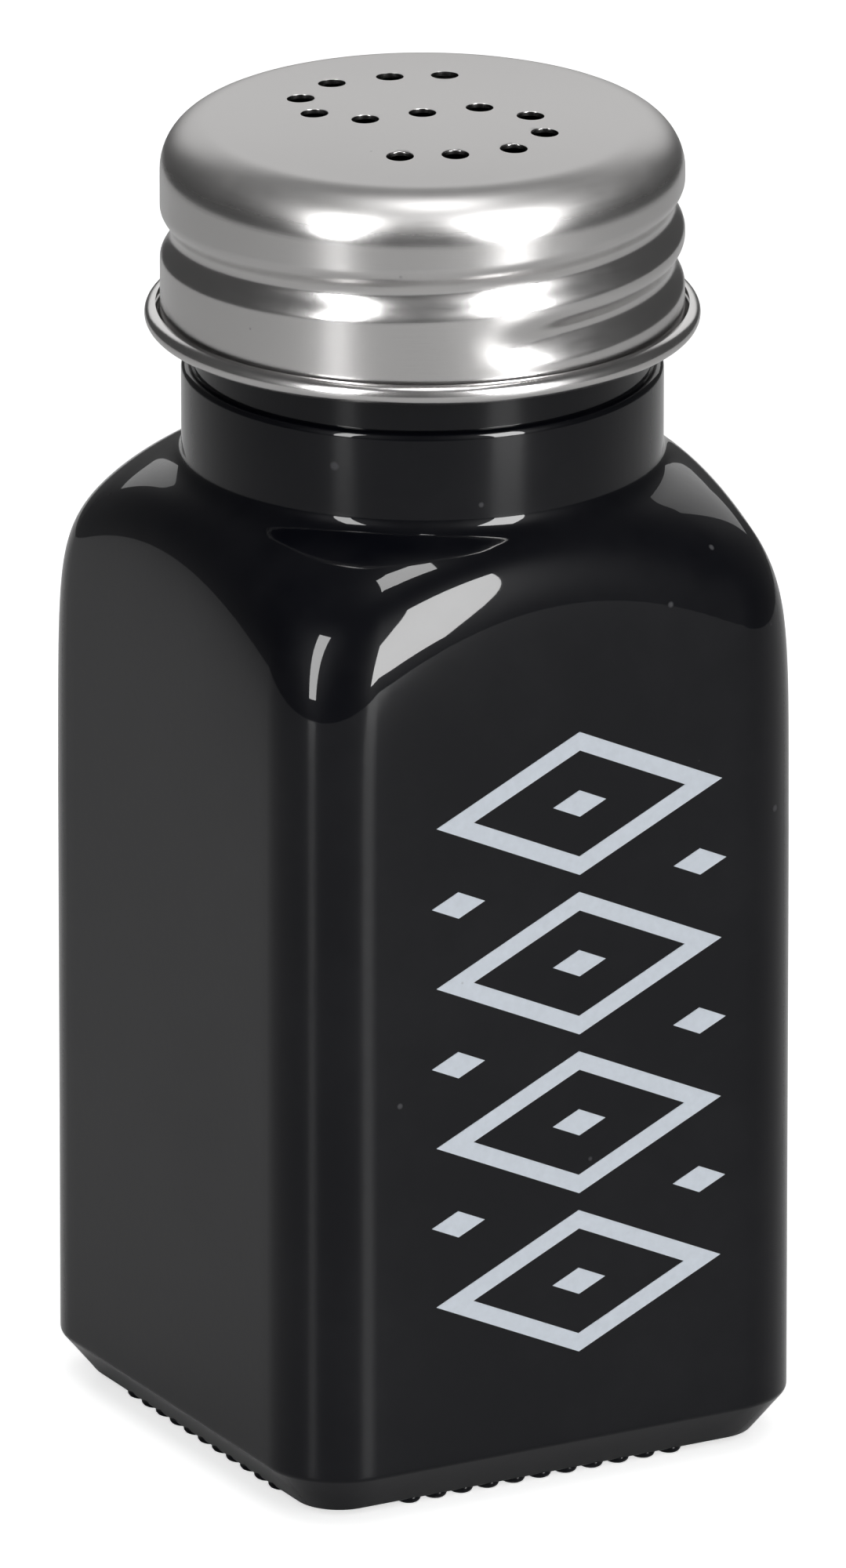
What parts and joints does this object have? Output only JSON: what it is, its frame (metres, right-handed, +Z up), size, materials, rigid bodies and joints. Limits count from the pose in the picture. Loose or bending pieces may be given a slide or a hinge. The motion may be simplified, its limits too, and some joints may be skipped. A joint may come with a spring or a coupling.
{
  "type": "salt shaker",
  "caption": "Square glass salt shaker with domed shoulders, round threaded neck and a screw-on pressed steel cap with pouring holes.",
  "frame": {"origin": "centre of the base, on the plane that the shaker rests on", "axes": "+Z up along the axis of the neck and the cap, -Y out of the printed face, +X to the right when that face is looked at"},
  "size_m": [0.045, 0.0451, 0.1055],
  "materials": {
    "black_glass": "opaque black lacquered glass, glossy",
    "white_ink": "screen-printed bluish white ink, satin",
    "seal": "soft off-white plastic, matte",
    "steel_cap": "stainless sheet, brushed round the side, satin on top"
  },
  "bodies": {
    "bottle": {"bottle": "black_glass", "crystal_print": "white_ink"},
    "seal": {"seal_ring": "seal"},
    "cap": {"cap": "steel_cap"}
  },
  "joints": [
    {"name": "cap_rise", "type": "slide", "parent": "bottle", "child": "seal", "axis": [0, 0, 1], "range_m": [0, 0.01576]},
    {"name": "cap_turn", "type": "hinge", "parent": "seal", "child": "cap", "pos_m": [0, 0, 0.0885], "axis": [0, 0, 1], "range_deg": [0, 1260]}
  ],
  "couplings": [
    {"joint": "cap_rise", "follows": "cap_turn", "m_per_rad": 0.0007162}
  ]
}
